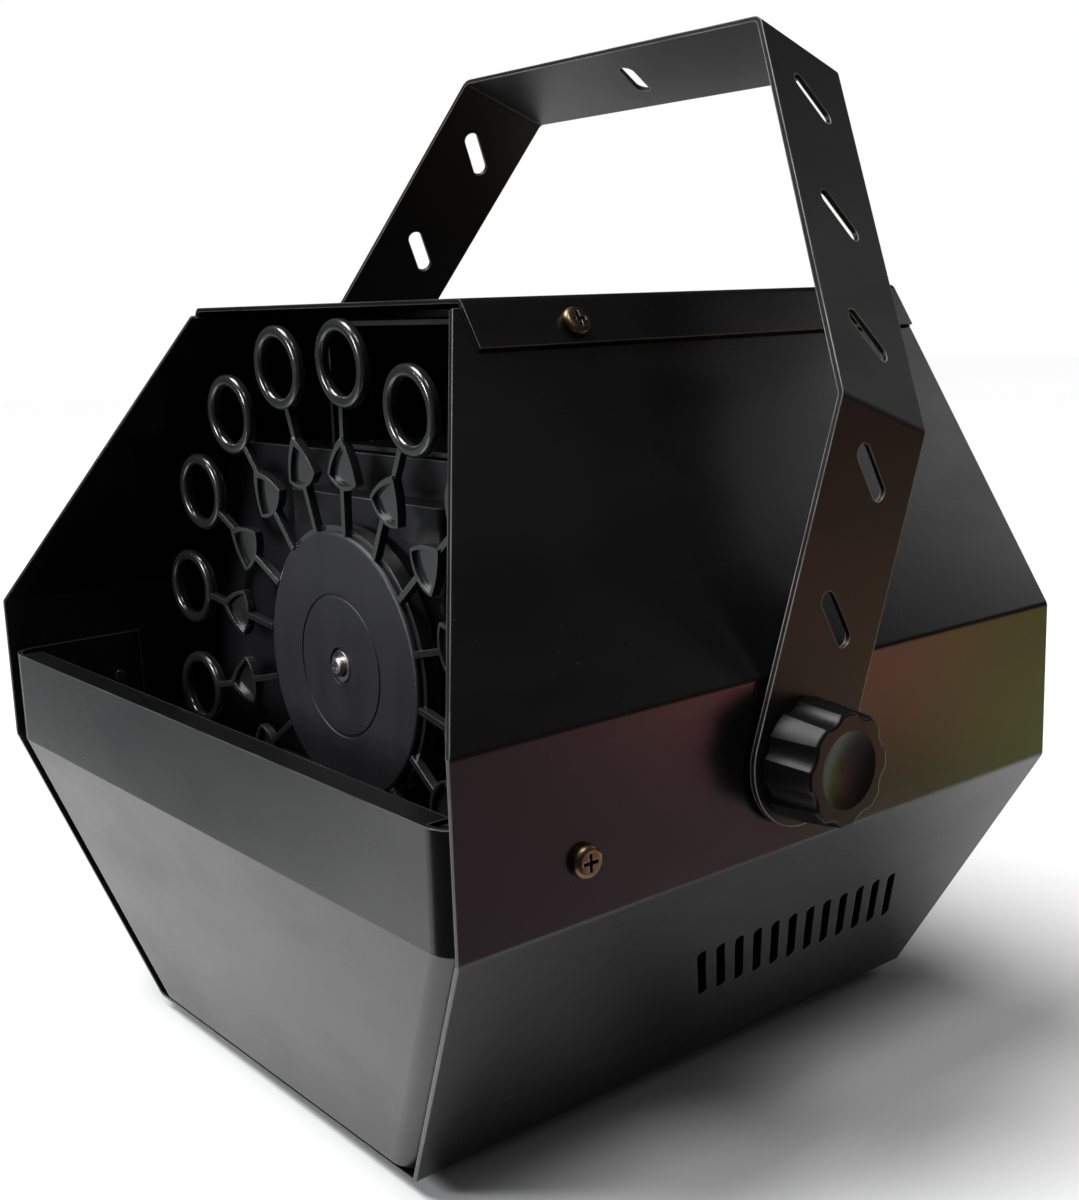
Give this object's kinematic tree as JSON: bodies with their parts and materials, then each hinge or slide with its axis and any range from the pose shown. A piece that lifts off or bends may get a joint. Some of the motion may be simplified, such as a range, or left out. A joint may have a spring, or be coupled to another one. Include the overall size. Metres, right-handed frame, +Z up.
{
  "type": "bubble machine",
  "caption": "Boxy six-sided metal bubble machine with an open front, a turning wheel of bubble rings, a fluid tank, a blower and a tilting yoke bracket with clamp knobs.",
  "frame": {"origin": "middle of the overall footprint, at the underside of the rubber feet", "axes": "+Z up, +Y from the open front back to the mains panel, so bubbles leave along -Y; +X to the right of someone looking at the open front from outside"},
  "size_m": [0.2852, 0.2224, 0.2971],
  "materials": {
    "case_paint": "satin",
    "bracket_paint": "satin",
    "inner_paint": "satin",
    "knob_plastic": "satin",
    "wheel_plastic": "gloss",
    "disc_plastic": "satin",
    "tank_plastic": "satin",
    "blower_plastic": "satin",
    "electric_plastic": "satin",
    "rocker_plastic": "gloss",
    "terminal_plastic": "satin",
    "wire_pvc": "satin",
    "fibre": "matte",
    "rubber": "matte",
    "zinc": "satin",
    "yellow_zinc": "satin",
    "motor_steel": "satin",
    "bush_brass": "satin"
  },
  "bodies": {
    "case": {"case_wrap": "case_paint", "front_panel": "case_paint", "top_cover": "case_paint", "rear_panel": "case_paint", "rubber_feet": "rubber", "foot_screws": "zinc", "cover_screws": "yellow_zinc", "panel_screws": "yellow_zinc", "rear_angles": "inner_paint", "rear_screws": "yellow_zinc", "pivot_washers": "fibre", "pivot_nuts": "zinc", "shaft_bush": "bush_brass", "fluid_tank": "tank_plastic", "partition": "inner_paint", "motor_pan": "inner_paint", "motor_screws": "zinc", "wheel_motor": "motor_steel", "blower_housing": "blower_plastic", "blower_motor": "motor_steel", "blower_stand": "inner_paint", "power_inlet": "electric_plastic", "inlet_screws": "zinc", "switch_body": "electric_plastic", "fuse_holder": "electric_plastic", "terminal_block": "terminal_plastic", "wiring": "wire_pvc"},
    "bracket": {"hanging_bracket": "bracket_paint"},
    "right_knob": {"knob_right": "knob_plastic", "stud_right": "zinc"},
    "left_knob": {"knob_left": "knob_plastic", "stud_left": "zinc"},
    "bubble_wheel": {"wand_wheel": "wheel_plastic", "hub_disc": "disc_plastic", "hub_screw": "zinc", "wheel_shaft": "zinc"},
    "blower_rotor": {"blower_impeller": "blower_plastic", "blower_shaft": "zinc"},
    "rocker": {"switch_rocker": "rocker_plastic"},
    "fuse_plug": {"fuse_cap": "electric_plastic"}
  },
  "joints": [
    {"name": "bracket_tilt", "type": "hinge", "parent": "case", "child": "bracket", "pos_m": [0, -0.0072, 0.11], "axis": [1, 0, 0], "range_deg": [-35, 78]},
    {"name": "right_knob_turn", "type": "hinge", "parent": "case", "child": "right_knob", "pos_m": [0.13, -0.0072, 0.11], "axis": [1, 0, 0], "range_deg": [0, 720]},
    {"name": "left_knob_turn", "type": "hinge", "parent": "case", "child": "left_knob", "pos_m": [-0.13, -0.0072, 0.11], "axis": [-1, 0, 0], "range_deg": [0, 720]},
    {"name": "wheel_spin", "type": "hinge", "parent": "case", "child": "bubble_wheel", "pos_m": [0, -0.0552, 0.1212], "axis": [0, 1, 0], "continuous": true},
    {"name": "blower_spin", "type": "hinge", "parent": "case", "child": "blower_rotor", "pos_m": [0, 0.0308, 0.165], "axis": [1, 0, 0], "continuous": true},
    {"name": "power_rocker", "type": "hinge", "parent": "case", "child": "rocker", "pos_m": [0.012, 0.099, 0.05], "axis": [1, 0, 0], "range_deg": [-16, 0]},
    {"name": "fuse_cap_turn", "type": "hinge", "parent": "case", "child": "fuse_plug", "pos_m": [0.046, 0.1022, 0.05], "axis": [0, 1, 0], "range_deg": [0, 45]}
  ]
}
